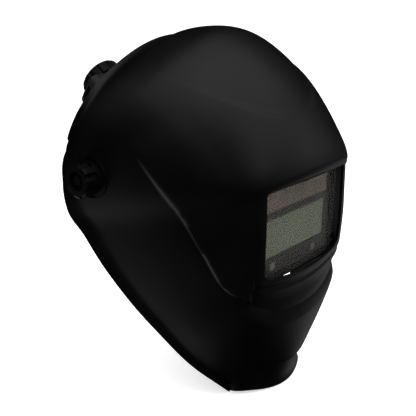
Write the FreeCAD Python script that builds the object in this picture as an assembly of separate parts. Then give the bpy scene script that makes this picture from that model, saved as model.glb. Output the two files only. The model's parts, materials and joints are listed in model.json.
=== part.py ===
import FreeCAD, Part
import os
from math import sqrt, sin, cos, pi, radians
from FreeCAD import Vector as V

# Auto-darkening welding helmet. Millimetres. +X is the wearer's left, -Y is forward, +Z is up.
# The origin is the middle of the axis the shell tilts about, between the two tension knobs.
os.makedirs("parts", exist_ok=True)

# ---- driving dimensions -------------------------------------------------------------------
WALL = 2.8                    # moulded shell wall
WIN_W = 112.0                 # window opening in the shell
WIN_TOP = 1.5
WIN_BOT = -79.0
CART_W = 110.0                # standard filter cartridge
CART_H = 90.0
CART_T = 9.0
CART_Y = -130.3               # front face of the cartridge
CART_Z = -40.0                # middle height of the cartridge and of the window
VIEW_W = 90.0                 # viewing area
VIEW_H = 35.0
VIEW_Z = -49.0
BOLT_R = 4.95                 # pivot bolt shank
RUN = 0.07                    # running clearance on a radius
KNOB_R = 15.6                 # tension knob
KNOB_L = 14.4
SEAT_R = 18.0                 # flat round seat for the knob on the shell
SEAT_X = 120.6
TILT = 31.0                   # headgear rear-up relative to the shell at rest
BAND_Z = -18.0                # headband's middle height below the tilt axis, in its own frame
BAND_A = 80.0                 # headband half width, inside
BAND_T = 2.0
BAND_H = 26.0
REAR_Y = 50.0                 # centre of the rear band's bend
REAR_B = 57.0                 # depth of the rear band's bend
STRAP_Z = 14.0                # where the crown strap leaves the side plates
STRAP_B = 71.5                # rise of the crown strap above that
RATCHET_R = 22.0

# ---- shell surface ------------------------------------------------------------------------
# Sections from the crown's rear rim, over brow and window, to the chin. Each one holds the
# centre point (y, z), the corner between front and side (x, y, z), the side rim (x, y, z),
# the outward bulge of the side and how far round the corner is eased, as a share of the section.
SECTIONS = [
    (16, 104, 90, 12, 72, 118, 26, 22, 10, 0.30),
    (-12, 118, 92, -12, 78, 120, 28, 8, 11, 0.30),
    (-42, 122, 92, -40, 76, 121, 28, -4, 12, 0.30),
    (-72, 112, 90, -70, 66, 121, 28, -14, 12, 0.30),
    (-102, 90, 87, -96, 50, 121, 27, -24, 12, 0.28),
    (-126, 58, 82, -119, 30, 120, 26, -34, 11, 0.24),
    (-146, 20, 74, -136, 10, 118, 22, -44, 9, 0.16),
    (-149, 8, 68, -139, 2, 117, 18, -49, 8, 0.10),
    (-144, 3, 65, -138, -2, 116, 14, -54, 8, 0.06),
    (-144, -39, 65, -138, -40, 110, -4, -82, 8, 0.05),
    (-143, -83, 63, -136, -78, 101, -30, -114, 8, 0.05),
    (-138, -95, 62, -133, -87, 97, -40, -125, 8, 0.07),
    (-142, -118, 62, -133, -108, 89, -58, -144, 7, 0.10),
    (-138, -148, 54, -126, -144, 76, -76, -168, 6, 0.16),
    (-132, -176, 44, -114, -174, 59, -90, -189, 4, 0.18),
    (-128, -181, 42, -111, -179, 55, -92, -194, 4, 0.18),
    (-121, -207, 38, -108, -203, 43, -95, -204, 2, 0.20),
]
CORNER = 0.42                 # share of the half section that is its front
# where the jaw's upper edge crosses each section, and how deep the cheek is sunk inside it
MOUTH = 12.0                  # section at which the mouth ledge ends, at its middle
MOUTH_RISE = 0.7              # sections it climbs by towards the crease
CREASE_TOP = 0.65             # how far round the crease runs beside the window
CREASE_FALL = 0.06            # how much it comes in per section below the window top
CREASE_LOW = 0.42             # where it ends, at the mouth
CREASE = [max(CREASE_LOW, CREASE_TOP - CREASE_FALL * max(0, k - 8)) for k in range(17)]
SUNK = [0, 0, 0, 0, 1, 2.5, 4, 5, 6, 6, 6, 5, 0, 0, 0, 0, 0]
EASE = [(-1, 1), (-.75, 3), (-.5, 5), (-.25, 6.5), (0, 7), (.25, 6.5), (.5, 5), (.75, 3), (1, 1)]


def along(column, u):
    """Monotone cubic through one value per section."""
    last = len(column) - 1
    u = min(max(u, 0.0), float(last))
    i = min(int(u), last - 1)

    def slope(k):
        if k == 0 or k == last:
            return column[min(k + 1, last)] - column[max(k - 1, 0)]
        a = column[k] - column[k - 1]
        b = column[k + 1] - column[k]
        return 0.0 if a * b <= 0 else 2 * a * b / (a + b)

    t = u - i
    m0 = slope(i)
    m1 = slope(i + 1)
    h = column[i + 1] - column[i]
    return column[i] + t * (m0 + t * ((3 * h - 2 * m0 - m1) + t * (m0 + m1 - 2 * h)))


def ramp(a, b, v):
    q = min(max((v - a) / (b - a), 0.0), 1.0)
    return q * q * (3 - 2 * q)


COLUMNS = list(zip(*SECTIONS))


def section_point(sec, t):
    cy, cz, kx, ky, kz, sx, sy, sz, bulge, ease = sec
    side = -1.0 if t < 0 else 1.0
    t = abs(t)
    if t < CORNER:
        q = t / CORNER
        return side * kx * q, cy + (ky - cy) * q * q, cz + (kz - cz) * q * q
    q = (t - CORNER) / (1 - CORNER)
    dx = sx - kx
    dy = sy - ky
    dz = sz - kz
    flat = sqrt(dy * dy + dz * dz)
    b = 4 * bulge * q * (1 - q) / sqrt(dx * dx + flat * flat) if q < 1 else 0.0
    lean = b * dx / flat
    return side * (kx + dx * q + b * flat), ky + dy * q - lean * dy, kz + dz * q - lean * dz


def skin(u, t):
    """The smooth form: every section with its corners eased."""
    sec = [along(c, u) for c in COLUMNS]
    x = y = z = total = 0.0
    for k, w in EASE:
        p = section_point(sec, t + k * sec[9])
        x += w * p[0]
        y += w * p[1]
        z += w * p[2]
        total += w
    return V(x / total, y / total, z / total)


def tent(v, at, before, after):
    """1 at the line, falling to 0 over before on one side and after on the other."""
    return max(0.0, min(1 - (at - v) / before, 1 - (v - at) / after, 1.0))


def mouth_line(s):
    """u of the mouth ledge's front edge, a flat bow that climbs to meet the crease."""
    return MOUTH - MOUTH_RISE * (s / 0.5) ** 4


def relief(u, t):
    """How far the moulded features stand out of the smooth form."""
    s = abs(t)
    # raised crown panel, tongue shaped
    q = min(max((5.12 - 8.0 * s ** 2 - 90.0 * s ** 4 - u) / 0.35, 0.0), 1.0)
    out = 1.6 * q * (2 - q) * ramp(2.2, 4.0, u)
    # edges of the brow lip, the window box's foot and its corner, the mouth ledge
    front = 1 - ramp(0.40, 0.50, s)
    out += front * (0.8 * tent(u, 7.0, 0.5, 0.5) - 1.5 * tent(u, 11.05, 0.5, 0.5))
    out += (1 - ramp(0.45, 0.50, s)) * 3.0 * tent(u, mouth_line(s), 0.9, 0.5)
    # cheeks, sunk between the window box and the jaw's upper edge
    edge = along(CREASE, u)
    if edge > CORNER + 0.01 and CORNER < s < edge:
        step = min((edge - s) / 0.03, 1.0)
        out -= along(SUNK, u) * step * (s - CORNER) / (edge - CORNER)
    # rim turned inwards
    edge_in = max(0.0, (s - 0.94) / 0.06, (0.30 - u) / 0.30, 0.8 * (u - 15.7) / 0.3)
    return out - 4.5 * edge_in ** 2


def normals(grid):
    """Outward normals. Points at the rim take theirs from three rows in, where it is well defined."""
    rows = len(grid)
    cols = len(grid[0])
    out = []
    for i in range(rows):
        a = min(max(i, 3), rows - 4)
        line = []
        for j in range(cols):
            b = min(max(j, 3), cols - 4)
            n = (grid[a][b + 1] - grid[a][b - 1]).cross(grid[a + 1][b] - grid[a - 1][b])
            n.normalize()
            line.append(n)
        out.append(line)
    return out


def offset(grid, by):
    n = normals(grid)
    return [[p + n[i][j] * by[i][j] for j, p in enumerate(row)] for i, row in enumerate(grid)]


def spline(grid):
    """Cubic surface with the grid's points as its poles: it eases every corner and never ripples."""
    def knots(n):
        return [float(k) for k in range(n - 2)], [4] + [1] * (n - 4) + [4]
    ku, mu = knots(len(grid))
    kt, mt = knots(len(grid[0]))
    s = Part.BSplineSurface()
    s.buildFromPolesMultsKnots(grid, mu, mt, ku, kt, False, False, 3, 3)
    return s


def even_rows(count):
    """Section positions spaced evenly along the shell from crown to chin."""
    fine = [16.0 * k / 320 for k in range(321)]
    lines = [[skin(u, t) for u in fine] for t in (0.0, 0.42, 0.75)]
    total = [0.0]
    for k in range(320):
        total.append(total[-1] + sum((line[k + 1] - line[k]).Length for line in lines))
    out = []
    k = 0
    for i in range(count + 1):
        want = total[-1] * i / count
        while k < 319 and total[k + 1] < want:
            k += 1
        out.append(fine[k] + 0.05 * (want - total[k]) / (total[k + 1] - total[k]))
    return out


def shell_solid():
    nt = 64
    us = even_rows(72)
    ts = [-1 + 2.0 * j / nt for j in range(nt + 1)]
    smooth = [[skin(u, t) for t in ts] for u in us]
    outer = offset(smooth, [[relief(u, t) for t in ts] for u in us])
    inner = offset(outer, [[-WALL] * len(ts)] * len(us))
    a = spline(outer)
    b = spline(inner)
    faces = [a.toShape(), b.toShape()]
    ua, ub, va, vb = a.bounds()
    for get in (lambda s: s.uIso(ua), lambda s: s.uIso(ub), lambda s: s.vIso(va), lambda s: s.vIso(vb)):
        faces.append(Part.makeRuledSurface(get(a).toShape(), get(b).toShape()))
    skin_shell = Part.makeShell(faces)
    skin_shell.sewShape()
    solid = Part.makeSolid(skin_shell)
    if solid.Volume < 0:
        solid.reverse()
    return solid


# ---- small helpers ------------------------------------------------------------------------
def box(x0, x1, y0, y1, z0, z1):
    return Part.makeBox(x1 - x0, y1 - y0, z1 - z0, V(x0, y0, z0))


def rod(x, y, z, r, length, axis):
    return Part.makeCylinder(r, length, V(x, y, z), axis)


def xrod(x0, x1, r, y=0.0, z=0.0):
    return rod(x0, y, z, r, x1 - x0, V(1, 0, 0))


def yrod(x, z, y0, y1, r):
    return rod(x, y0, z, r, y1 - y0, V(0, 1, 0))


def plate(w, h, r, y0, y1, z, x=0.0):
    """Upright rounded rectangle, w by h, centred at x and z, from y0 to y1."""
    b = box(x - w / 2, x + w / 2, y0, y1, z - h / 2, z + h / 2)
    return b.makeFillet(r, [e for e in b.Edges if abs(e.tangentAt(e.FirstParameter).y) > 0.99])


def soften(shape, r, pick):
    edges = [e for e in shape.Edges if pick(e)]
    try:
        out = shape.makeFillet(r, edges)
        return out if out.isValid() and out.Volume > 0 else shape
    except Exception:
        return shape


def circle_edge(e, r, tol=0.05):
    return hasattr(e.Curve, "Radius") and abs(e.Curve.Radius - r) < tol


def mirror(shape):
    return shape.mirror(V(0, 0, 0), V(1, 0, 0))


def group(shapes):
    return Part.makeCompound(shapes)


def tilted(shape):
    """From the headgear's own level frame to the row frame."""
    out = shape.copy()
    out.rotate(V(0, 0, 0), V(1, 0, 0), TILT)
    return out


def half_ellipse(a, b, cy, front):
    """Points (x, y) round half of an ellipse in plan, from +x to -x."""
    s = -1.0 if front else 1.0
    return [V(a * cos(k * pi / 24), cy + s * b * sin(k * pi / 24), 0) for k in range(25)]


def curve(points):
    c = Part.BSplineCurve()
    c.interpolate(points)
    return c.toShape()


def hoop(a, b, t, cy, tail, front, z0, z1):
    """Upright band bent round half an ellipse, with straight tails up to y = tail."""
    inner = half_ellipse(a, b, cy, front)
    outer = half_ellipse(a + t, b + t, cy, front)
    edges = [
        curve(inner),
        Part.makeLine(inner[-1], V(-a, tail, 0)),
        Part.makeLine(V(-a, tail, 0), V(-a - t, tail, 0)),
        Part.makeLine(V(-a - t, tail, 0), outer[-1]),
        curve(outer),
        Part.makeLine(outer[0], V(a + t, tail, 0)),
        Part.makeLine(V(a + t, tail, 0), V(a, tail, 0)),
        Part.makeLine(V(a, tail, 0), inner[0]),
    ]
    wire = Part.Wire(Part.__sortEdges__(edges))
    solid = Part.Face(wire).extrude(V(0, 0, z1 - z0))
    solid.translate(V(0, 0, z0))
    return solid


def arch(a, b, t, z0, x_from, x_to, half_depth):
    """Crown strap: a strip over the top of the head, cut to x_from..x_to."""
    def pts(aa, bb):
        return [V(aa * cos(k * pi / 24), 0, z0 + bb * sin(k * pi / 24)) for k in range(25)]
    inner = pts(a, b)
    outer = pts(a + t, b + t)
    edges = [
        curve(inner),
        Part.makeLine(inner[-1], outer[-1]),
        curve(outer),
        Part.makeLine(outer[0], inner[0]),
    ]
    wire = Part.Wire(Part.__sortEdges__(edges))
    solid = Part.Face(wire).extrude(V(0, 2 * half_depth, 0))
    solid.translate(V(0, -half_depth, 0))
    return solid.common(box(x_from, x_to, -half_depth - 1, half_depth + 1, z0 - 1, z0 + b + t + 9))


def save(name, shape):
    shape.exportStep("parts/" + name + ".step")
    print(name, round(shape.Volume), shape.isValid(), len(shape.Solids))


# ---- shell ---------------------------------------------------------------------------------
def window_cutter():
    """Window opening: square at the top, bowed and rounder at the bottom."""
    w = WIN_W / 2
    top = WIN_TOP
    bot = WIN_BOT
    r = 11.0
    k = r * (1 - sqrt(0.5))
    p = V(-w, -160, bot + r)
    q = V(-w + r, -160, bot - 0.8)
    m = V(-w + k, -160, bot + k - 0.3)
    edges = [
        Part.Arc(V(-w, -160, top - 5), V(-w + 1.46, -160, top - 1.46), V(-w + 5, -160, top)).toShape(),
        Part.makeLine(V(-w + 5, -160, top), V(w - 5, -160, top)),
        Part.Arc(V(w - 5, -160, top), V(w - 1.46, -160, top - 1.46), V(w, -160, top - 5)).toShape(),
        Part.makeLine(V(w, -160, top - 5), V(w, -160, bot + r)),
        Part.Arc(V(w, -160, bot + r), V(-m.x, -160, m.z), V(-q.x, -160, q.z)).toShape(),
        Part.Arc(V(-q.x, -160, q.z), V(0, -160, bot - 3.5), q).toShape(),
        Part.Arc(q, m, p).toShape(),
        Part.makeLine(p, V(-w, -160, top - 5)),
    ]
    return Part.Face(Part.Wire(Part.__sortEdges__(edges))).extrude(V(0, 45, 0))


shell = shell_solid()
for s in (1, -1):
    seat = xrod(110.9, SEAT_X, SEAT_R + 1.6)
    spot = xrod(SEAT_X, SEAT_X + 12, SEAT_R + 0.6)
    hole = xrod(100, 135, BOLT_R + RUN)
    if s < 0:
        seat, spot, hole = mirror(seat), mirror(spot), mirror(hole)
    shell = shell.fuse(seat).cut(spot).cut(hole)
shell = shell.cut(window_cutter())
save("shell", shell)


# ---- filter cartridge and what holds it, on the shell ---------------------------------------
def bent_sheet(w, h, y_mid, sag, t, z):
    """Clear cover bent about a vertical axis: y_mid at its middle, sag further back at its ends."""
    def arc(off):
        return Part.Arc(V(-w / 2, y_mid + sag + off, 0), V(0, y_mid + off, 0), V(w / 2, y_mid + sag + off, 0))
    edges = [
        arc(0).toShape(),
        arc(t).toShape(),
        Part.makeLine(V(-w / 2, y_mid + sag, 0), V(-w / 2, y_mid + sag + t, 0)),
        Part.makeLine(V(w / 2, y_mid + sag, 0), V(w / 2, y_mid + sag + t, 0)),
    ]
    f = Part.Face(Part.Wire(Part.__sortEdges__(edges)))
    s = f.extrude(V(0, 0, h))
    s.translate(V(0, 0, z - h / 2))
    return s


save("front_cover_lens", bent_sheet(114.0, 87.0, -138.0, 4.1, 1.5, CART_Z + 0.9))

holder = plate(117, 97, 5, CART_Y - 1.8, -122.0, CART_Z)
holder = holder.cut(plate(CART_W + 0.6, CART_H + 0.6, 4.3, CART_Y, -110.0, CART_Z))
holder = holder.cut(plate(103, 82, 3, CART_Y - 5, -110.0, CART_Z))
for s in (1, -1):
    ear = box(s * 63 - 5, s * 63 + 5, -125.0, -122.0, CART_Z + 34, CART_Z + 44)
    ear = ear.cut(yrod(s * 63.5, CART_Z + 39, -130, -110, 1.7))
    holder = holder.fuse(ear)
    low = box(s * 63 - 5, s * 63 + 5, -125.0, -122.0, CART_Z - 44, CART_Z - 34)
    low = low.cut(yrod(s * 63.5, CART_Z - 39, -130, -110, 1.7))
    holder = holder.fuse(low)
save("filter_holder", holder.removeSplitter())

screws = []
for sx in (1, -1):
    for sz in (1, -1):
        x = sx * 63.5
        z = CART_Z + 39 * sz
        screw = yrod(x, z, -129.5, -121.9, 1.65).fuse(yrod(x, z, -121.9, -119.9, 3.0))
        slot = box(x - 0.4, x + 0.4, -120.9, -119.5, z - 2.2, z + 2.2)
        slot = slot.fuse(box(x - 2.2, x + 2.2, -120.9, -119.5, z - 0.4, z + 0.4))
        screws.append(screw.cut(slot))
save("holder_screws", group(screws))

for s, name in ((1, "holder_latch_left"), (-1, "holder_latch_right")):
    latch = box(50.0, 58.0, -121.0, -118.4, CART_Z - 9, CART_Z + 9)
    latch = soften(latch, 1.0, lambda e: abs(e.tangentAt(e.FirstParameter).y) > 0.99)
    for k in range(4):
        latch = latch.cut(box(52.2 + k * 1.4, 52.8 + k * 1.4, -118.9, -118.0, CART_Z - 6, CART_Z + 6))
    save(name, latch if s > 0 else mirror(latch))

front_case = plate(CART_W, CART_H, 4, CART_Y, CART_Y + 5.0, CART_Z)
front_case = front_case.cut(plate(96.4, 19.4, 1.5, CART_Y - 1, CART_Y + 1.0, -15.0))
front_case = front_case.cut(plate(VIEW_W, VIEW_H, 2.5, CART_Y - 1, CART_Y + 9, VIEW_Z))
front_case = front_case.cut(plate(98.4, 40.4, 1.5, CART_Y + 1.2, CART_Y + 9, VIEW_Z))
front_case = front_case.cut(plate(100, 22, 1.5, CART_Y + 2.2, CART_Y + 9, -14.0))
for s in (1, -1):
    front_case = front_case.cut(plate(7, 7, 0.8, CART_Y - 1, CART_Y + 1.6, -75.5, s * 30.0))
save("filter_front_case", front_case)

save("solar_cell", plate(96, 19, 1.3, CART_Y + 0.2, CART_Y + 1.0, -15.0))
save("filter_glass", plate(98, 40, 1.2, CART_Y + 1.25, CART_Y + 4.9, VIEW_Z))
save("light_sensors", group([plate(6.8, 6.8, 0.7, CART_Y + 0.4, CART_Y + 1.6, -75.5, s * 30.0) for s in (1, -1)]))
save("circuit_board", plate(98, 20, 1.0, CART_Y + 3.0, CART_Y + 4.6, -14.0))

BLOCK_Y = -113.4              # rear face of the control block
REAR_CASE_Y = CART_Y + CART_T
rear_case = plate(CART_W, CART_H, 4, CART_Y + 5.0, REAR_CASE_Y, CART_Z)
rear_case = rear_case.fuse(plate(104, 25, 4, CART_Y + 5.0, BLOCK_Y, -14.5))
rear_case = rear_case.cut(plate(VIEW_W + 6, VIEW_H + 6, 2.5, CART_Y + 4, -100, VIEW_Z - 1))
rear_case = rear_case.cut(plate(98, 21, 2, CART_Y + 4, BLOCK_Y - 1.6, -14.5))
SHADE = (-34.0, -14.5, 9.0)
SENSE = (-11.0, -14.5, 7.0)
DELAY = (8.0, -14.5, 7.0)
CAP = (35.0, -14.5)
for x, z, r in (SHADE, SENSE, DELAY):
    rear_case = rear_case.cut(yrod(x, z, BLOCK_Y - 3, BLOCK_Y + 2, 2.57))
rear_case = rear_case.cut(yrod(CAP[0], CAP[1], BLOCK_Y - 3, BLOCK_Y + 2, 11.07))
rear_case = rear_case.cut(yrod(19.5, -14.5, BLOCK_Y - 3, BLOCK_Y + 2, 1.87))
save("filter_rear_case", rear_case.removeSplitter())


def dial(x, z, r, lobes):
    """Fluted control dial on a 5 mm spindle that passes through the rear case."""
    d = yrod(x, z, BLOCK_Y + 0.35, BLOCK_Y + 3.6, r)
    for k in range(lobes):
        a = 2 * pi * k / lobes
        d = d.cut(yrod(x + (r + 0.5) * cos(a), z + (r + 0.5) * sin(a), BLOCK_Y, BLOCK_Y + 5, 0.9))
    d = d.cut(box(x - 0.5, x + 0.5, BLOCK_Y + 3.0, BLOCK_Y + 5, z + 1.0, z + r - 1.2))
    return d.fuse(yrod(x, z, BLOCK_Y - 4.5, BLOCK_Y + 0.4, 2.5)).removeSplitter()


save("shade_dial", dial(SHADE[0], SHADE[1], SHADE[2], 18))
save("sensitivity_dial", dial(SENSE[0], SENSE[1], SENSE[2], 14))
save("delay_dial", dial(DELAY[0], DELAY[1], DELAY[2], 14))
button = yrod(19.5, -14.5, BLOCK_Y - 3.0, BLOCK_Y + 1.6, 1.8)
save("test_button", button.fuse(yrod(19.5, -14.5, BLOCK_Y - 4.2, BLOCK_Y - 2.2, 2.8)).removeSplitter())
cap = yrod(CAP[0], CAP[1], BLOCK_Y - 1.7, BLOCK_Y + 1.0, 11.0)
cap = cap.cut(box(CAP[0] - 8, CAP[0] + 8, BLOCK_Y - 0.2, BLOCK_Y + 2, CAP[1] - 0.8, CAP[1] + 0.8))
save("battery_cap", cap)
save("battery", yrod(CAP[0], CAP[1], BLOCK_Y - 5.4, BLOCK_Y - 2.2, 10.0))
save("inner_cover_lens", plate(VIEW_W + 5.6, VIEW_H + 5.6, 2.3, REAR_CASE_Y - 1.8, REAR_CASE_Y - 0.6, VIEW_Z - 1))


# ---- tilt pivots ----------------------------------------------------------------------------
def tension_knob():
    x0 = 122.8
    k = xrod(x0, x0 + KNOB_L, KNOB_R)
    k = soften(k, 2.2, lambda e: circle_edge(e, KNOB_R) and e.CenterOfMass.x > x0 + 5)
    for i in range(8):
        a = 2 * pi * (i + 0.5) / 8
        k = k.cut(xrod(x0 + 2.4, x0 + KNOB_L + 1, 4.0, (KNOB_R + 1.9) * cos(a), (KNOB_R + 1.9) * sin(a)))
    k = k.cut(xrod(x0 + KNOB_L - 5.0, x0 + KNOB_L + 1, 8.6))
    k = k.fuse(xrod(x0 + KNOB_L - 6.0, x0 + KNOB_L - 1.6, 4.4))
    for i in range(4):
        a = pi * i / 4
        rib = box(x0 + KNOB_L - 6.0, x0 + KNOB_L - 3.0, -9.0, 9.0, -0.7, 0.7)
        rib.rotate(V(0, 0, 0), V(1, 0, 0), a * 180 / pi)
        k = k.fuse(rib)
    return k.cut(xrod(x0 - 1, x0 + 8.0, BOLT_R + RUN)).removeSplitter()


def pivot_bolt():
    head = box(94.2, 97.9, -7.5, 7.5, -7.5, 7.5)
    shank = xrod(97.5, 130.0, BOLT_R)
    shank = soften(shank, 0.8, lambda e: circle_edge(e, BOLT_R) and e.CenterOfMass.x > 128)
    return head.fuse(shank).removeSplitter()


def pivot_slide():
    """Block that rides on the side plate's rail and carries the bolt."""
    b = box(86.4, 102.0, -13, 13, -13.5, 13.5)
    b = soften(b, 3.0, lambda e: abs(e.tangentAt(e.FirstParameter).x) > 0.99)
    b = b.cut(box(86.0, 90.0, -20, 20, -6.4, 6.4))
    b = b.cut(box(89.2, 92.4, -20, 20, -9.4, 9.4))
    b = b.cut(box(93.9, 98.0, -7.6, 7.6, -7.6, 7.6))
    b = b.cut(xrod(97, 103, BOLT_R + 0.03))
    return b.removeSplitter()


def angle_stop():
    """Disc with a finger and a row of index holes, keyed on the bolt."""
    d = xrod(102.2, 105.6, 16.0).fuse(box(102.2, 105.6, -4, 4, 8, 24))
    d = soften(d, 1.5, lambda e: abs(e.tangentAt(e.FirstParameter).x) > 0.99 and e.CenterOfMass.z > 20)
    for i in range(5):
        a = radians(210 + 30 * i)
        d = d.cut(xrod(101, 107, 1.6, 11.5 * cos(a), 11.5 * sin(a)))
    return d.cut(xrod(101, 107, BOLT_R + 0.03)).removeSplitter()


def side_plate():
    """Plate on the headband with the rail the pivot slide rides on."""
    p = box(82.05, 86.0, -26, 26, BAND_Z - 12.5, STRAP_Z)
    p = soften(p, 6.0, lambda e: abs(e.tangentAt(e.FirstParameter).x) > 0.99)
    rail = box(85.9, 89.8, -24, 24, -6.0, 6.0).fuse(box(89.6, 92.0, -24, 24, -9.0, 9.0))
    return p.fuse(rail).removeSplitter()


PIVOT_PARTS = (
    ("tension_knob", tension_knob(), False),
    ("outer_washer", xrod(120.95, 122.5, 14.8).cut(xrod(120, 123, BOLT_R + 0.03)), False),
    ("spacer_washer", xrod(105.8, 110.5, 13.0).cut(xrod(105, 111, BOLT_R + 0.03)), False),
    ("angle_stop", tilted(angle_stop()), True),
    ("pivot_bolt", tilted(pivot_bolt()), True),
    ("pivot_slide", tilted(pivot_slide()), True),
    ("side_plate", tilted(side_plate()), True),
)
for name, shape, _ in PIVOT_PARTS:
    save(name + "_left", shape)
    save(name + "_right", mirror(shape))


# ---- headgear --------------------------------------------------------------------------------
zb0 = BAND_Z - BAND_H / 2
zb1 = BAND_Z + BAND_H / 2
band = hoop(BAND_A, 82.0, BAND_T, -10.0, 40.0, True, zb0, zb1)
for k in range(-3, 4):
    if k:
        a = radians(270 + 14.0 * k)
        slot = box(-6.0, 6.0, -8, 8, BAND_Z + 6.5, BAND_Z + 9.5)
        slot.rotate(V(0, 0, 0), V(0, 0, 1), 14.0 * k)
        slot.translate(V(BAND_A * cos(a), -10.0 + 82.0 * sin(a), 0))
        band = band.cut(slot)
save("headband_front", tilted(band))

sweat = hoop(BAND_A - 6.6, 82.0 - 6.6, 6.3, -10.0, -9.0, True, zb0 - 3, zb1 + 3)
sweat = sweat.cut(box(-100, 100, -38, 10, -60, 60))
save("sweatband", tilted(sweat))

rear = hoop(BAND_A - 2.8, REAR_B - 0.3, BAND_T, REAR_Y, 6.0, False, BAND_Z - 10, BAND_Z + 10)
save("rear_band", tilted(rear))

strap = arch(83.2, STRAP_B, 1.5, STRAP_Z, -90, 26, 10.0)
strap_over = arch(83.2, STRAP_B + 1.8, 1.5, STRAP_Z, -26, 90, 10.0)
peg_z = STRAP_Z + STRAP_B
holes = [rod(x, 0, peg_z - 8, 2.0, 16, V(0, 0, 1)) for x in (-20, -10, 0, 10, 20)]
strap = strap.cut(group(holes))
strap_over = strap_over.cut(group(holes))
save("crown_strap_right", tilted(strap))
save("crown_strap_left", tilted(strap_over))
peg = rod(0, 0, peg_z - 1.3, 1.9, 4.8, V(0, 0, 1)).fuse(rod(0, 0, peg_z + 3.4, 3.4, 1.2, V(0, 0, 1)))
save("crown_pin", tilted(peg.fuse(rod(0, 0, peg_z - 1.3, 2.6, 1.1, V(0, 0, 1))).removeSplitter()))

# ratchet at the back of the head
HOUSE_Y = REAR_Y + REAR_B + 2.0
housing = plate(62, 36, 8, HOUSE_Y, HOUSE_Y + 11.0, BAND_Z)
housing = soften(housing, 2.0, lambda e: e.CenterOfMass.y > HOUSE_Y + 10.9)
housing = housing.cut(yrod(0, BAND_Z, HOUSE_Y + 2.5, HOUSE_Y + 8.5, 14.0))
housing = housing.cut(yrod(0, BAND_Z, HOUSE_Y + 8, HOUSE_Y + 12, 5.07))
housing = housing.cut(box(-32, 32, HOUSE_Y + 3.5, HOUSE_Y + 7.5, BAND_Z - 7.5, BAND_Z + 7.5))
save("ratchet_housing", tilted(housing))
pinion = yrod(0, BAND_Z, HOUSE_Y + 3.0, HOUSE_Y + 8.0, 6.5)
for k in range(12):
    a = 2 * pi * k / 12
    pinion = pinion.cut(yrod(6.9 * cos(a), BAND_Z + 6.9 * sin(a), HOUSE_Y + 2, HOUSE_Y + 9, 1.1))
save("ratchet_pinion", tilted(pinion))
knob_y = HOUSE_Y + 11.4
rk = yrod(0, BAND_Z, knob_y, knob_y + 13.0, RATCHET_R)
rk = soften(rk, 2.5, lambda e: circle_edge(e, RATCHET_R) and e.CenterOfMass.y > knob_y + 5)
for k in range(14):
    a = 2 * pi * k / 14
    rr = RATCHET_R + 1.0
    rk = rk.cut(yrod(rr * cos(a), BAND_Z + rr * sin(a), knob_y - 1, knob_y + 14, 2.6))
rk = rk.cut(yrod(0, BAND_Z, knob_y + 10.0, knob_y + 14, 14.5))
rk = rk.fuse(yrod(0, BAND_Z, HOUSE_Y + 8.05, knob_y + 0.5, 5.0))
save("ratchet_knob", tilted(rk.removeSplitter()))

pad = hoop(BAND_A - 7.9, REAR_B - 5.6, 5.0, REAR_Y, REAR_Y + 1, False, BAND_Z - 12, BAND_Z + 12)
pad = pad.cut(box(-100, 100, -50, REAR_Y + 32, -60, 60))
save("rear_pad", tilted(pad))
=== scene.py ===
import json
import math
import bpy
import bmesh
import numpy as np
from mathutils import Matrix, Vector


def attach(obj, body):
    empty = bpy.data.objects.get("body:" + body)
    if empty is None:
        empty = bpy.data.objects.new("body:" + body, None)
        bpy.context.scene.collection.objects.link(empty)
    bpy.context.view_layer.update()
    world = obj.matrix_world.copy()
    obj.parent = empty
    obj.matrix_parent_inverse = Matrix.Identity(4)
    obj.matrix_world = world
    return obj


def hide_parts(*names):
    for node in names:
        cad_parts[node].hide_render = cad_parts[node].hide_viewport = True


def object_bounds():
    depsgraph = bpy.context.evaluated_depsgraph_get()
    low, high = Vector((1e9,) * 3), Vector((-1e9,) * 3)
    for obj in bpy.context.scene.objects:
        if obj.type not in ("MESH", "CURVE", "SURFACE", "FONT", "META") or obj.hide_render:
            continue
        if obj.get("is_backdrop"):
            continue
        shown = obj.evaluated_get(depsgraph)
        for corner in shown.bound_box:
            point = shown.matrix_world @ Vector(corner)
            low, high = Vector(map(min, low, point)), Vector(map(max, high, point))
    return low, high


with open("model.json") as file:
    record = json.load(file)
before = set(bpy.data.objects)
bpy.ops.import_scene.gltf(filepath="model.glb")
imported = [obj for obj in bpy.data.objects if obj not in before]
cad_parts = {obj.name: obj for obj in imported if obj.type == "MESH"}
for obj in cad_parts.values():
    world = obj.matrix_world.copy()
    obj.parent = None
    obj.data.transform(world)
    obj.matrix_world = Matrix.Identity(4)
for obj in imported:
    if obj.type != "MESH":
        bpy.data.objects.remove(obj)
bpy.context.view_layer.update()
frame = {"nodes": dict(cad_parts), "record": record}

MM = 0.001
NODES = frame["nodes"]

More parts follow.
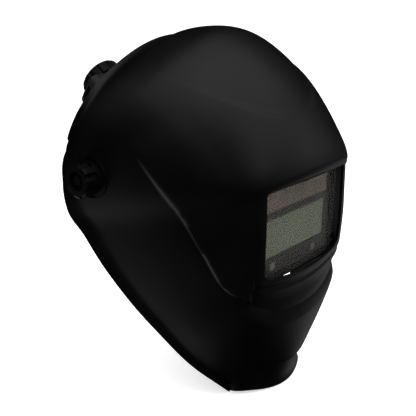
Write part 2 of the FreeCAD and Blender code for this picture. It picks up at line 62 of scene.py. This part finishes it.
# ---- shell surface: the same sections as the CAD shell --------------------------------------
# centre (y, z), corner (x, y, z), side rim (x, y, z), bulge of the side, easing of the corner
SECTIONS = np.array([
    (16, 104, 90, 12, 72, 118, 26, 22, 10, 0.30),
    (-12, 118, 92, -12, 78, 120, 28, 8, 11, 0.30),
    (-42, 122, 92, -40, 76, 121, 28, -4, 12, 0.30),
    (-72, 112, 90, -70, 66, 121, 28, -14, 12, 0.30),
    (-102, 90, 87, -96, 50, 121, 27, -24, 12, 0.28),
    (-126, 58, 82, -119, 30, 120, 26, -34, 11, 0.24),
    (-146, 20, 74, -136, 10, 118, 22, -44, 9, 0.16),
    (-149, 8, 68, -139, 2, 117, 18, -49, 8, 0.10),
    (-144, 3, 65, -138, -2, 116, 14, -54, 8, 0.06),
    (-144, -39, 65, -138, -40, 110, -4, -82, 8, 0.05),
    (-143, -83, 63, -136, -78, 101, -30, -114, 8, 0.05),
    (-138, -95, 62, -133, -87, 97, -40, -125, 8, 0.07),
    (-142, -118, 62, -133, -108, 89, -58, -144, 7, 0.10),
    (-138, -148, 54, -126, -144, 76, -76, -168, 6, 0.16),
    (-132, -176, 44, -114, -174, 59, -90, -189, 4, 0.18),
    (-128, -181, 42, -111, -179, 55, -92, -194, 4, 0.18),
    (-121, -207, 38, -108, -203, 43, -95, -204, 2, 0.20),
], float)
CORNER = 0.42
CREASE_TOP = 0.65             # how far round the crease runs beside the window
CREASE_FALL = 0.06            # how much it comes in per section below the window top
CREASE_LOW = 0.42             # where it ends, at the mouth
CREASE = np.array([max(CREASE_LOW, CREASE_TOP - CREASE_FALL * max(0, k - 8)) for k in range(17)])
SUNK = np.array([0, 0, 0, 0, 2, 3.2, 4.4, 5, 6, 6, 6, 5.5, 0, 0, 0, 0, 0], float)
EASE = [(-1, 1), (-.75, 3), (-.5, 5), (-.25, 6.5), (0, 7), (.25, 6.5), (.5, 5), (.75, 3), (1, 1)]
MOUTH = 12.0                  # section at which the mouth ledge ends, at its middle
MOUTH_RISE = 0.7              # sections it climbs by towards the crease
LEDGE_H = 3.0                 # height of the mouth ledge
PANEL_EDGE = 5.12             # section at which the brow panel ends, at its middle
PANEL_BOW = 8.0               # how that edge falls back to the sides, with s squared
PANEL_WING = 90.0             # and with the fourth power of s
PANEL_STEP = 0.25             # sections the panel's step is spread over
PANEL_H = 1.6
BROW_LIP = 7.0                # section of the lip over the window
BROW_LIP_H = 0.8
FOOT = 11.05                  # section of the groove under the window
FOOT_DEPTH = 1.5
RIDGE = 0.415                 # how far round the ridge beside the window runs
RIDGE_H = 1.0
RIM_S = 0.94                  # how far round the rim starts to turn inwards
RIM_TURN = 4.5
WALL = 2.8
WIN_W = 112.0                 # window opening
WIN_TOP = 1.5
WIN_BOT = -79.0
WIN_TOP_R = 5.0               # its upper and lower corners
WIN_R = 11.0
WIN_SAG = 3.5                 # how far the lower edge bows down
SEAT_X = 120.6                # flat round seat for the tension knob
SEAT_R = 18.0
SEAT_EDGE = 1.6               # the seat's boss is wider than the knob by this
SPOT_EDGE = 0.6               # and the flat cut into it by this
BOLT_HOLE_R = 5.02
SMOOTH_ROWS = 230.0           # row count at which the two pass counts below hold
SHELL_PASSES = 14
CHEEK_PASSES = 90


def along(col, u):
    """Monotone cubic through one value per section; col may have several columns."""
    col = np.asarray(col, float)
    flat = col.ndim == 1
    c = col[:, None] if flat else col
    d = c[1:] - c[:-1]
    m = np.zeros_like(c)
    m[0] = d[0]
    m[-1] = d[-1]
    a, b = d[:-1], d[1:]
    same = a * b > 0
    m[1:-1] = np.where(same, 2 * a * b / np.where(same, a + b, 1.0), 0.0)
    last = len(c) - 1
    u = np.clip(u, 0, last)
    i = np.minimum(u.astype(int), last - 1)
    t = (u - i)[:, None]
    h = d[i]
    out = c[i] + t * (m[i] + t * ((3 * h - 2 * m[i] - m[i + 1]) + t * (m[i] + m[i + 1] - 2 * h)))
    return out[:, 0] if flat else out


def ramp(a, b, v):
    q = np.clip((v - a) / (b - a), 0, 1)
    return q * q * (3 - 2 * q)


def section_points(sec, t):
    cy, cz, kx, ky, kz, sx, sy, sz, bulge, _ = [sec[:, k][:, None] for k in range(10)]
    side = np.where(t < 0, -1.0, 1.0)
    t = abs(t)
    q = t / CORNER
    front = (kx * q, cy + (ky - cy) * q * q, cz + (kz - cz) * q * q)
    q = (t - CORNER) / (1 - CORNER)
    dx, dy, dz = sx - kx, sy - ky, sz - kz
    flat = np.sqrt(dy * dy + dz * dz)
    b = np.where(q < 1, 4 * bulge * q * (1 - q), 0) / np.sqrt(dx * dx + flat * flat)
    lean = b * dx / flat
    rear = (kx + dx * q + b * flat, ky + dy * q - lean * dy, kz + dz * q - lean * dz)
    f = t < CORNER
    return np.stack([side * np.where(f, front[0], rear[0]), np.where(f, front[1], rear[1]),
                     np.where(f, front[2], rear[2])], -1)


def skin(us, ts):
    sec = along(SECTIONS, us)
    total = 0
    out = 0
    for k, w in EASE:
        out = out + w * section_points(sec, ts + k * sec[:, 9][:, None])
        total += w
    return out / total


def tent(v, at, before, after):
    """1 at the line, falling to 0 over before on one side and after on the other."""
    return np.clip(np.minimum(1 - (at - v) / before, 1 - (v - at) / after), 0, 1)


def crease_edge(us):
    """t of the diagonal crease on each row."""
    return np.maximum(along(CREASE, us), CORNER + 0.02)


def columns(us, count):
    """t of every grid point: even columns, bent on each row so that one follows the crease."""
    base = np.linspace(-1, 1, count + 1)[None, :]
    edge = crease_edge(us)[:, None]
    home = 0.64
    s = abs(base)
    middle = CORNER + (s - CORNER) / (home - CORNER) * (edge - CORNER)
    rear = edge + (s - home) / (1 - home) * (1 - edge)
    return np.sign(base) * np.where(s < CORNER, s, np.where(s < home, middle, rear))


def relief(us, ts):
    """How far the moulded features stand out of the smooth form."""
    u = us[:, None]
    s = abs(ts)
    q = np.clip((PANEL_EDGE - PANEL_BOW * s ** 2 - PANEL_WING * s ** 4 - u) / PANEL_STEP, 0, 1)
    out = PANEL_H * q * (2 - q) * ramp(2.2, 4.0, u)
    front = 1 - ramp(0.40, 0.50, s)
    lip = BROW_LIP_H * tent(u, BROW_LIP, 0.4, 0.4)
    out = out + front * (lip - FOOT_DEPTH * tent(u, FOOT, 0.45, 0.45))
    arc = MOUTH - MOUTH_RISE * (s / 0.5) ** 4
    out = out + (1 - ramp(0.45, 0.50, s)) * LEDGE_H * tent(u, arc, 0.9, 0.45)
    out = out + RIDGE_H * tent(s, RIDGE, 0.03, 0.012) * ramp(7.3, 7.9, u) * (1 - ramp(9.8, 10.8, u))
    edge = crease_edge(us)[:, None]
    sunk = along(SUNK, us)[:, None]
    inside = (s > CORNER) & (s < edge)
    step = np.minimum((edge - s) / 0.014, 1.0)
    out = out - np.where(inside, sunk * step * (s - CORNER) / (edge - CORNER), 0)
    turned = np.maximum((s - RIM_S) / 0.06, (0.30 - u) / 0.30)
    turned = np.maximum(turned, 0.8 * (u - 15.7) / 0.3)
    return out - RIM_TURN * np.maximum(turned, 0) ** 2


def even_rows(count):
    """u of evenly spaced rows, by the mean length along the shell."""
    fine = np.linspace(0, 16, 321)
    g = skin(fine, np.array([[0.0, 0.42, 0.75]]))
    step = np.linalg.norm(np.diff(g, axis=0), axis=2).sum(1)
    total = np.concatenate([[0], np.cumsum(step)])
    return np.interp(np.linspace(0, total[-1], count + 1), total, fine)


def soften(grid, passes, keep):
    """Binomial smoothing along both directions, held back where keep is 1."""
    g = grid.copy()
    for _ in range(passes):
        s = g.copy()
        s[1:-1] = (g[:-2] + 2 * g[1:-1] + g[2:]) / 4
        r = s.copy()
        r[:, 1:-1] = (s[:, :-2] + 2 * s[:, 1:-1] + s[:, 2:]) / 4
        g = g + (r - g) * (1 - keep)[..., None]
    return g


def grid_normals(g, inset):
    """Outward normals, with those near the border taken from inset points further in."""
    n = np.cross(np.gradient(g, axis=1), np.gradient(g, axis=0))
    n /= np.linalg.norm(n, axis=2)[..., None]
    rows, cols = g.shape[:2]
    i = np.clip(np.arange(rows), inset, rows - 1 - inset)
    j = np.clip(np.arange(cols), inset, cols - 1 - inset)
    return n[i][:, j]


def mesh_object(name, verts, faces):
    me = bpy.data.meshes.new(name)
    me.from_pydata([tuple(v) for v in verts], [], faces)
    me.validate()
    ob = bpy.data.objects.new(name, me)
    bpy.context.scene.collection.objects.link(ob)
    return ob


def outward(ob):
    """Turns every face of a closed mesh outwards."""
    bm = bmesh.new()
    bm.from_mesh(ob.data)
    bmesh.ops.recalc_face_normals(bm, faces=bm.faces)
    bm.to_mesh(ob.data)
    bm.free()
    return ob


def shell_mesh():
    nu = 300
    nt = 260
    us = even_rows(nu)
    ts = columns(us, nt)
    g = skin(us, ts)
    face = ramp(5.2, 6.4, us) * (1 - ramp(12.4, 13.6, us))
    lip = face + ramp(13.6, 13.9, us) * (1 - ramp(15.2, 15.6, us))
    keep = np.clip(lip, 0, 1)[:, None] * (1 - ramp(0.42, 0.62, abs(ts)))
    g = soften(g, int(SHELL_PASSES * (nu / SMOOTH_ROWS) ** 2) + 2, keep)
    cheek = ramp(0.46, 0.60, abs(ts)) * (1 - ramp(0.84, 0.97, abs(ts)))
    g = soften(g, int(CHEEK_PASSES * (nu / SMOOTH_ROWS) ** 2), 1 - cheek)
    inset = max(3, nu // 45)
    outer = g + grid_normals(g, inset) * relief(us, ts)[..., None]
    inner = outer - grid_normals(soften(outer, 2, np.zeros(outer.shape[:2])), inset) * WALL
    rows, cols = outer.shape[:2]
    verts = np.concatenate([outer.reshape(-1, 3), inner.reshape(-1, 3)]) * MM
    n = rows * cols
    faces = []
    for i in range(rows - 1):
        for j in range(cols - 1):
            a = i * cols + j
            faces.append((a, a + 1, a + cols + 1, a + cols))
            faces.append((n + a, n + a + cols, n + a + cols + 1, n + a + 1))
    rim = [(0, j) for j in range(cols)]
    rim += [(i, cols - 1) for i in range(1, rows)]
    rim += [(rows - 1, j) for j in range(cols - 2, -1, -1)]
    rim += [(i, 0) for i in range(rows - 2, 0, -1)]
    for k, (i, j) in enumerate(rim):
        i2, j2 = rim[(k + 1) % len(rim)]
        a, b = i * cols + j, i2 * cols + j2
        faces.append((b, a, n + a, n + b))
    ob = mesh_object("shell_form", verts, faces)
    return outward(ob)


def prism(name, outline, y0, y1):
    """Closed solid from an x-z outline in mm, between two y values."""
    n = len(outline)
    verts = [(x * MM, y * MM, z * MM) for y in (y0, y1) for x, z in outline]
    faces = [tuple(range(n)), tuple(range(2 * n - 1, n - 1, -1))]
    faces += [(k, k + n, (k + 1) % n + n, (k + 1) % n) for k in range(n)]
    ob = mesh_object(name, verts, faces)
    return outward(ob)


def disc_x(name, x0, x1, r, steps=96):
    """Round solid along X, between two x values."""
    turn = [2 * math.pi * k / steps for k in range(steps)]
    pts = [(r * math.cos(a), r * math.sin(a)) for a in turn]
    ob = prism(name, pts, x0, x1)
    ob.data.transform(Matrix(((0, 1, 0, 0), (1, 0, 0, 0), (0, 0, 1, 0), (0, 0, 0, 1))))
    return outward(ob)


def corner_arc(cx, cz, rad, start):
    """Quarter circle in ten points, from an angle in degrees."""
    angles = [math.radians(start + k * 10) for k in range(10)]
    return [(cx + rad * math.cos(a), cz + rad * math.sin(a)) for a in angles]


def window_outline():
    """Window opening: two tight upper corners, two wide lower ones and a bowed lower edge."""
    w = WIN_W / 2
    run = w - WIN_R
    pts = corner_arc(w - WIN_TOP_R, WIN_TOP - WIN_TOP_R, WIN_TOP_R, 0)
    pts += corner_arc(-w + WIN_TOP_R, WIN_TOP - WIN_TOP_R, WIN_TOP_R, 90)
    pts += corner_arc(-w + WIN_R, WIN_BOT + WIN_R, WIN_R, 180)
    pts += [(-run + 2 * run * k / 24, WIN_BOT - WIN_SAG * (1 - (1 - k / 12) ** 2)) for k in range(1, 24)]
    return pts + corner_arc(w - WIN_R, WIN_BOT + WIN_R, WIN_R, 270)


def boolean(ob, other, op):
    m = ob.modifiers.new("cut", "BOOLEAN")
    m.operation = op
    m.solver = "EXACT"
    m.object = other
    bake(ob)
    bpy.data.objects.remove(other)


def bake(ob):
    dg = bpy.context.evaluated_depsgraph_get()
    me = bpy.data.meshes.new_from_object(ob.evaluated_get(dg))
    ob.modifiers.clear()
    ob.data = me


shell = shell_mesh()
for s in (1, -1):
    boolean(shell, disc_x("seat", s * 111.0, s * SEAT_X, SEAT_R + SEAT_EDGE), "UNION")
    boolean(shell, disc_x("spot", s * SEAT_X, s * 135.0, SEAT_R + SPOT_EDGE), "DIFFERENCE")
    boolean(shell, disc_x("hole", s * 100.0, s * 140.0, BOLT_HOLE_R), "DIFFERENCE")
boolean(shell, prism("window", window_outline(), -160.0, -115.0), "DIFFERENCE")
shell.data.shade_smooth()
shell.data.set_sharp_from_angle(angle=math.radians(38))
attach(shell, "helmet_shell")
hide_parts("shell")


# ---- sweatband and rear pad: cloth over foam -----------------------------------------------------
PAD_STEPS = 20
PAD_VOXEL = 0.0022            # fine, because the pads are only 5 to 6 mm thick
PAD_INSET = 0.0009            # the pad starts smaller by this and swells back
PAD_CAP = 0.0008              # furthest a point may move


def padded_copy(node, name, body):
    """Remeshes a copy of a pad's solid as cloth and inflates it by at most PAD_CAP."""
    src = NODES[node]
    me = src.data.copy()
    me.transform(src.matrix_world)
    me.materials.clear()
    ob = bpy.data.objects.new(name, me)
    bpy.context.scene.collection.objects.link(ob)
    m = ob.modifiers.new("remesh", "REMESH")
    m.mode = "VOXEL"
    m.voxel_size = PAD_VOXEL
    bake(ob)
    bm = bmesh.new()
    bm.from_mesh(ob.data)
    for v in bm.verts:
        v.co -= v.normal * PAD_INSET
    for _ in range(4):
        bmesh.ops.smooth_vert(bm, verts=bm.verts, factor=0.5,
                              use_axis_x=True, use_axis_y=True, use_axis_z=True)
    bm.to_mesh(ob.data)
    bm.free()
    start = [v.co.copy() for v in ob.data.vertices]
    cloth = ob.modifiers.new("cloth", "CLOTH")
    cloth.settings.use_pressure = True
    cloth.settings.uniform_pressure_force = 4.0
    cloth.settings.effector_weights.gravity = 0.0
    cloth.point_cache.frame_start = 1
    cloth.point_cache.frame_end = PAD_STEPS
    for f in range(1, PAD_STEPS + 1):
        bpy.context.scene.frame_set(f)
    bake(ob)
    bpy.context.scene.frame_set(1)
    for v, p in zip(ob.data.vertices, start):
        move = v.co - p
        if move.length > PAD_CAP:
            v.co = p + move * (PAD_CAP / move.length)
    sub = ob.modifiers.new("subdivision", "SUBSURF")
    sub.levels = sub.render_levels = 1
    bake(ob)
    ob.data.shade_smooth()
    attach(ob, body)
    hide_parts(node)
    return ob


pads = [padded_copy("sweatband", "sweatband_cloth", "headgear"),
        padded_copy("rear_pad", "rear_pad_cloth", "rear_cradle")]


# ---- materials --------------------------------------------------------------------------------
def tree(name):
    m = bpy.data.materials.new(name)
    m.use_nodes = True
    nt = m.node_tree
    return m, nt, nt.nodes["Principled BSDF"]


def coords(nt, scale=(1.0, 1.0, 1.0)):
    tc = nt.nodes.new("ShaderNodeTexCoord")
    mp = nt.nodes.new("ShaderNodeMapping")
    mp.inputs["Scale"].default_value = scale
    nt.links.new(tc.outputs["Object"], mp.inputs["Vector"])
    return mp.outputs["Vector"]


def noise(nt, vec, scale, detail=3.0, rough=0.5):
    n = nt.nodes.new("ShaderNodeTexNoise")
    n.inputs["Scale"].default_value = scale
    n.inputs["Detail"].default_value = detail
    n.inputs["Roughness"].default_value = rough
    nt.links.new(vec, n.inputs["Vector"])
    return n.outputs["Fac"]


def ramp_node(nt, fac, stops):
    r = nt.nodes.new("ShaderNodeValToRGB")
    e = r.color_ramp.elements
    for k, (pos, col) in enumerate(stops):
        el = e[k] if k < 2 else e.new(pos)
        el.position = pos
        el.color = (*col, 1.0)
    nt.links.new(fac, r.inputs["Fac"])
    return r.outputs["Color"]


def grey_range(nt, fac, lo, hi):
    m = nt.nodes.new("ShaderNodeMapRange")
    m.inputs["To Min"].default_value = lo
    m.inputs["To Max"].default_value = hi
    nt.links.new(fac, m.inputs["Value"])
    return m.outputs["Result"]


def bump(nt, bsdf, height, strength, distance):
    b = nt.nodes.new("ShaderNodeBump")
    b.inputs["Strength"].default_value = strength
    b.inputs["Distance"].default_value = distance
    nt.links.new(height, b.inputs["Height"])
    nt.links.new(b.outputs["Normal"], bsdf.inputs["Normal"])


def moulded(name, dark, light, rough, grain, depth, specular=0.5):
    """Moulded plastic: fine grain, slight mottling of colour and gloss."""
    m, nt, b = tree(name)
    v = coords(nt)
    broad = noise(nt, v, 35.0, 4.0)
    fine = noise(nt, v, grain, 2.0, 0.6)
    nt.links.new(ramp_node(nt, broad, [(0.3, dark), (0.7, light)]), b.inputs["Base Color"])
    nt.links.new(grey_range(nt, broad, rough - 0.04, rough + 0.05), b.inputs["Roughness"])
    b.inputs["Specular IOR Level"].default_value = specular
    bump(nt, b, fine, 0.35, depth)
    return m


# name, darker tone, lighter tone, roughness, grain scale, grain depth in metres, specular level
PLASTICS = (
    ("shell_plastic", (0.0007, 0.0007, 0.0008), (0.0012, 0.0012, 0.0013), 0.47, 2600.0, 0.00006, 0.24),
    ("black_plastic", (0.0016, 0.0016, 0.0017), (0.0026, 0.0026, 0.0027), 0.5, 3000.0, 0.0001, 0.12),
    ("grey_plastic", (0.15, 0.15, 0.155), (0.20, 0.20, 0.205), 0.5, 3000.0, 0.0001, 0.5),
    ("case_plastic", (0.009, 0.0075, 0.0065), (0.013, 0.0108, 0.0093), 0.45, 3200.0, 0.00003, 0.15),
    ("band_plastic", (0.0050, 0.0050, 0.0053), (0.0080, 0.0080, 0.0083), 0.45, 2500.0, 0.0001, 0.2),
    ("knob_plastic", (0.0008, 0.0008, 0.0009), (0.0014, 0.0014, 0.0015), 0.42, 2200.0, 0.0001, 0.10),
    ("washer_rubber", (0.0012, 0.0012, 0.0012), (0.0020, 0.0020, 0.0020), 0.75, 1800.0, 0.0001, 0.08),
)
M = {}
for row in PLASTICS:
    M[row[0]] = moulded(*row)


def glass(name, tint, alpha, rough):
    m, nt, b = tree(name)
    v = coords(nt)
    b.inputs["Base Color"].default_value = (*tint, 1)
    nt.links.new(grey_range(nt, noise(nt, v, 60.0, 4.0), rough, rough + 0.05), b.inputs["Roughness"])
    b.inputs["Alpha"].default_value = alpha
    b.inputs["IOR"].default_value = 1.5
    return m


M["clear_cover"] = glass("clear_cover", (0.20, 0.20, 0.19), 0.05, 0.03)
M["sensor_window"] = glass("sensor_window", (0.10, 0.085, 0.08), 1.0, 0.08)


def filter_tint():
    m, nt, b = tree("filter_tint")
    v = coords(nt)
    tones = [(0.3, (0.064, 0.072, 0.048)), (0.7, (0.079, 0.087, 0.060))]
    nt.links.new(ramp_node(nt, noise(nt, v, 18.0, 2.0), tones), b.inputs["Base Color"])
    nt.links.new(grey_range(nt, noise(nt, v, 80.0), 0.09, 0.15), b.inputs["Roughness"])
    b.inputs["Coat Weight"].default_value = 0.4
    return m


M["filter_tint"] = filter_tint()


def solar():
    m, nt, b = tree("solar_glass")
    v = coords(nt)
    sep = nt.nodes.new("ShaderNodeSeparateXYZ")
    nt.links.new(v, sep.inputs["Vector"])
    cell = nt.nodes.new("ShaderNodeMath")
    cell.operation = "PINGPONG"
    cell.inputs[1].default_value = 0.0048
    nt.links.new(sep.outputs["X"], cell.inputs[0])
    line = nt.nodes.new("ShaderNodeMath")
    line.operation = "LESS_THAN"
    line.inputs[1].default_value = 0.00012
    nt.links.new(cell.outputs[0], line.inputs[0])
    base = ramp_node(nt, noise(nt, v, 90.0), [(0.3, (0.050, 0.038, 0.029)), (0.7, (0.070, 0.056, 0.044))])
    mix = nt.nodes.new("ShaderNodeMix")
    mix.data_type = "RGBA"
    nt.links.new(line.outputs[0], mix.inputs["Factor"])
    nt.links.new(base, mix.inputs["A"])
    mix.inputs["B"].default_value = (0.05, 0.040, 0.032, 1)
    nt.links.new(mix.outputs["Result"], b.inputs["Base Color"])
    nt.links.new(grey_range(nt, noise(nt, v, 50.0), 0.12, 0.2), b.inputs["Roughness"])
    return m


M["solar_glass"] = solar()


def metal(name, tone, rough):
    m, nt, b = tree(name)
    v = coords(nt, (1.0, 6.0, 1.0))
    n = noise(nt, v, 400.0, 3.0)
    nt.links.new(ramp_node(nt, n, [(0.3, [c * 0.85 for c in tone]), (0.7, tone)]), b.inputs["Base Color"])
    b.inputs["Metallic"].default_value = 1.0
    nt.links.new(grey_range(nt, n, rough - 0.06, rough + 0.06), b.inputs["Roughness"])
    bump(nt, b, n, 0.2, 0.00005)
    return m


M["screw_steel"] = metal("screw_steel", (0.55, 0.55, 0.56), 0.32)
M["cell_steel"] = metal("cell_steel", (0.7, 0.7, 0.69), 0.25)
M["board"] = moulded("board", (0.01, 0.06, 0.02), (0.02, 0.11, 0.04), 0.3, 900.0, 0.0001)


def cloth_material():
    m, nt, b = tree("sweat_cloth")
    v = coords(nt)
    vor = nt.nodes.new("ShaderNodeTexVoronoi")
    vor.inputs["Scale"].default_value = 900.0
    nt.links.new(v, vor.inputs["Vector"])
    broad = noise(nt, v, 60.0, 4.0)
    nt.links.new(ramp_node(nt, broad, [(0.3, (0.010, 0.010, 0.012)), (0.7, (0.022, 0.022, 0.024))]),
                 b.inputs["Base Color"])
    b.inputs["Roughness"].default_value = 0.95
    b.inputs["Sheen Weight"].default_value = 0.08
    bump(nt, b, vor.outputs["Distance"], 0.8, 0.0006)
    return m


M["sweat_cloth"] = cloth_material()
shell.data.materials.append(M["shell_plastic"])
for ob in pads:
    ob.data.materials.append(M["sweat_cloth"])
for entry in frame["record"]["subparts"]:
    ob = NODES[entry["node"]]
    mat = M[entry["material_slot"]]
    for k in range(len(ob.material_slots)):
        ob.material_slots[k].material = mat
    if not ob.material_slots:
        ob.data.materials.append(mat)


# ---- floor, light, camera ------------------------------------------------------------------------
FLOOR_HALF = 40
FLOOR_GAP = 0.001


def floor():
    """Plain light floor, just under the chin."""
    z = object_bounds()[0][2] - FLOOR_GAP
    h = FLOOR_HALF
    ob = mesh_object("floor", [(-h, -h, z), (h, -h, z), (h, h, z), (-h, h, z)], [(0, 1, 2, 3)])
    m, nt, b = tree("floor_paint")
    b.inputs["Base Color"].default_value = (0.93, 0.93, 0.93, 1)
    b.inputs["Roughness"].default_value = 0.9
    b.inputs["Specular IOR Level"].default_value = 0.1
    b.inputs["Emission Color"].default_value = (1, 1, 1, 1)
    b.inputs["Emission Strength"].default_value = 0.35
    ob.data.materials.append(m)
    ob.visible_glossy = False
    ob.visible_shadow = False
    ob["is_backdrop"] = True


floor()


def area(name, loc, target, size, power):
    d = bpy.data.lights.new(name, "AREA")
    d.shape = "RECTANGLE"
    d.size, d.size_y = size
    d.energy = power
    ob = bpy.data.objects.new(name, d)
    ob.location = loc
    ob.rotation_euler = (Vector(target) - Vector(loc)).to_track_quat("-Z", "Y").to_euler()
    bpy.context.scene.collection.objects.link(ob)


# name, place, aimed at, width and height in metres, power in watts
LIGHTS = (
    ("top", (0.4, -0.8, 1.7), (0, -0.05, 0), (2.4, 2.4), 27.0),
    ("top_left", (-0.7, 0.1, 1.6), (0, -0.05, 0), (1.6, 1.6), 10.0),
    ("right", (1.4, -1.2, 0.45), (0, -0.1, -0.1), (0.7, 0.7), 2.6),
    ("low_right", (1.4, -0.4, -0.9), (0, -0.05, -0.12), (0.9, 0.9), 1.6),
    ("low_back", (-0.25, 0.9, -1.3), (0, -0.05, -0.12), (1.8, 1.2), 9.0),
)
for row in LIGHTS:
    area(*row)

world = bpy.data.worlds.new("world")
bpy.context.scene.world = world
world.use_nodes = True
bg = world.node_tree.nodes["Background"]
bg.inputs["Color"].default_value = (1, 1, 1, 1)
bg.inputs["Strength"].default_value = 1.0
world.cycles_visibility.glossy = False
bpy.context.scene.view_settings.view_transform = "Standard"

AZIMUTH = math.radians(-48.1)
ELEVATION = math.radians(20.5)
CAMERA_AT = (-0.540, -0.512, 0.216)
LENS = 69.2
SENSOR = 36.0
level = math.cos(ELEVATION)
back = Vector((math.sin(AZIMUTH) * level, -math.cos(AZIMUTH) * level, math.sin(ELEVATION)))
right = Vector((math.cos(AZIMUTH), math.sin(AZIMUTH), 0))
up = back.cross(right)
cam_data = bpy.data.cameras.new("camera")
cam_data.lens = LENS
cam_data.sensor_width = SENSOR
camera = bpy.data.objects.new("camera", cam_data)
pose = Matrix((right, up, back)).transposed().to_4x4()
pose.translation = Vector(CAMERA_AT)
camera.matrix_world = pose
bpy.context.scene.collection.objects.link(camera)
bpy.context.scene.camera = camera
